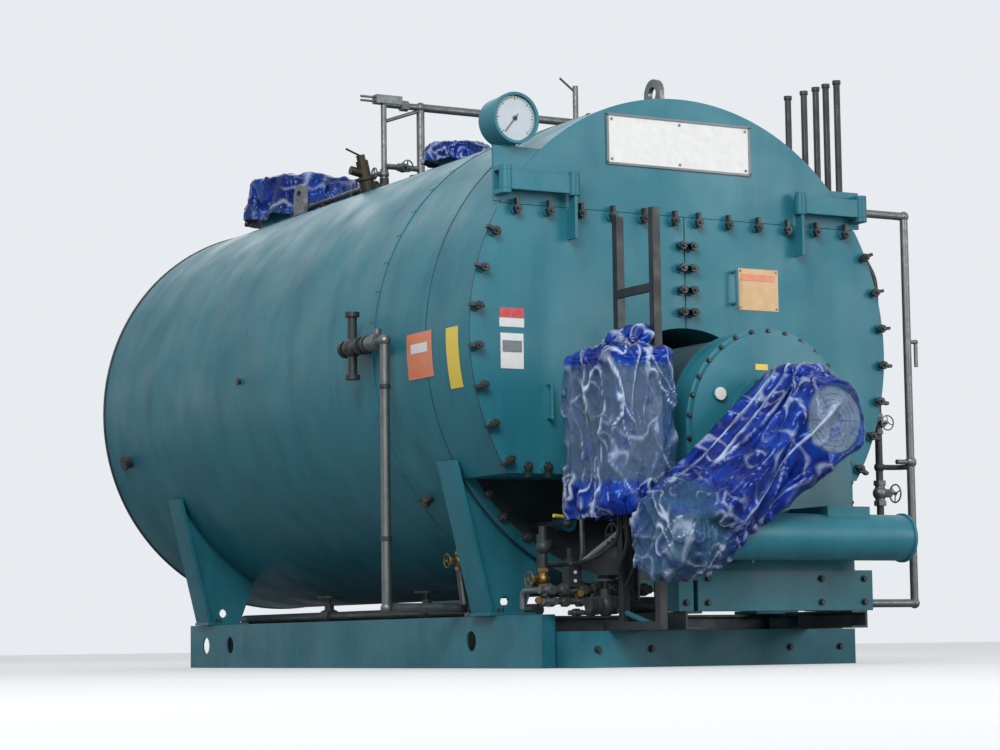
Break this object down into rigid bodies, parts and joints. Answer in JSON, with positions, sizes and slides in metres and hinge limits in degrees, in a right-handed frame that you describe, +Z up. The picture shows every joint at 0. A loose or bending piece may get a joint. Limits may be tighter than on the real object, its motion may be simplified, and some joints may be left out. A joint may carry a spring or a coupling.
{
  "type": "industrial boiler",
  "caption": "Horizontal packaged firetube boiler on a steel skid, with davit-hung front doors, a front burner and blower, wrapped controls and top nozzles.",
  "frame": {"origin": "on the underside of the skid, halfway along it, on the boiler's vertical middle plane", "axes": "+Z up, +Y to the rear, +X to the right seen from the front, so the front doors and burner look toward -Y"},
  "size_m": [2.8225, 6.14, 3.5657],
  "materials": {
    "teal_paint": "satin",
    "dark_steel": "matt",
    "grey_paint": "satin",
    "black_steel": "satin",
    "bare_pipe": "dull",
    "blue_film": "glossy",
    "pale_plate": "satin"
  },
  "bodies": {
    "boiler": {"shell_jacket": "teal_paint", "pressure_shell": "dark_steel", "front_box": "teal_paint", "tube_sheet": "dark_steel", "upper_panel": "teal_paint", "nameplate": "pale_plate", "davit_ears": "teal_paint", "rear_flange": "dark_steel", "rear_plate": "teal_paint", "rear_door": "teal_paint", "burner_throat": "dark_steel", "blower_housing": "teal_paint", "blower_motor": "grey_paint", "air_silencer": "teal_paint", "air_filter": "teal_paint", "burner_base": "teal_paint", "burner_arms": "dark_steel", "control_panel": "grey_paint", "panel_stand": "black_steel", "panel_wrap": "blue_film", "motor_wrap": "blue_film", "left_rail": "teal_paint", "right_rail": "teal_paint", "cross_members": "dark_steel", "front_extension": "teal_paint", "front_saddles": "teal_paint", "rear_saddles": "teal_paint", "flue_outlet": "teal_paint", "flue_wrap": "blue_film", "steam_nozzle": "teal_paint", "steam_wrap": "blue_film", "lifting_lugs": "bare_pipe", "pressure_gauge": "teal_paint", "top_piping": "bare_pipe", "riser_pipes": "black_steel", "vent_line": "bare_pipe", "water_column": "bare_pipe", "feed_cross": "black_steel", "left_drain_pipe": "bare_pipe", "gas_train": "black_steel", "blowdown_line": "black_steel"},
    "left_arm": {"left_davit_arm": "teal_paint"},
    "right_arm": {"right_davit_arm": "teal_paint"},
    "left_leaf": {"left_door": "teal_paint"},
    "right_leaf": {"right_door": "teal_paint"}
  },
  "joints": [
    {"name": "left_arm_swing", "type": "hinge", "parent": "boiler", "child": "left_arm", "pos_m": [-1.05, -2.152, 2.32], "axis": [0, 0, -1], "range_deg": [0, 30]},
    {"name": "left_leaf_swivel", "type": "hinge", "parent": "left_arm", "child": "left_leaf", "pos_m": [-0.67, -2.152, 2.32], "axis": [0, 0, -1], "range_deg": [-30, 0]},
    {"name": "right_arm_swing", "type": "hinge", "parent": "boiler", "child": "right_arm", "pos_m": [1.05, -2.152, 2.32], "axis": [0, 0, 1], "range_deg": [0, 30]},
    {"name": "right_leaf_swivel", "type": "hinge", "parent": "right_arm", "child": "right_leaf", "pos_m": [0.67, -2.152, 2.32], "axis": [0, 0, 1], "range_deg": [-30, 0]}
  ],
  "couplings": [
    {"joint": "left_leaf_swivel", "follows": "left_arm_swing", "ratio": -1},
    {"joint": "right_leaf_swivel", "follows": "right_arm_swing", "ratio": -1}
  ]
}
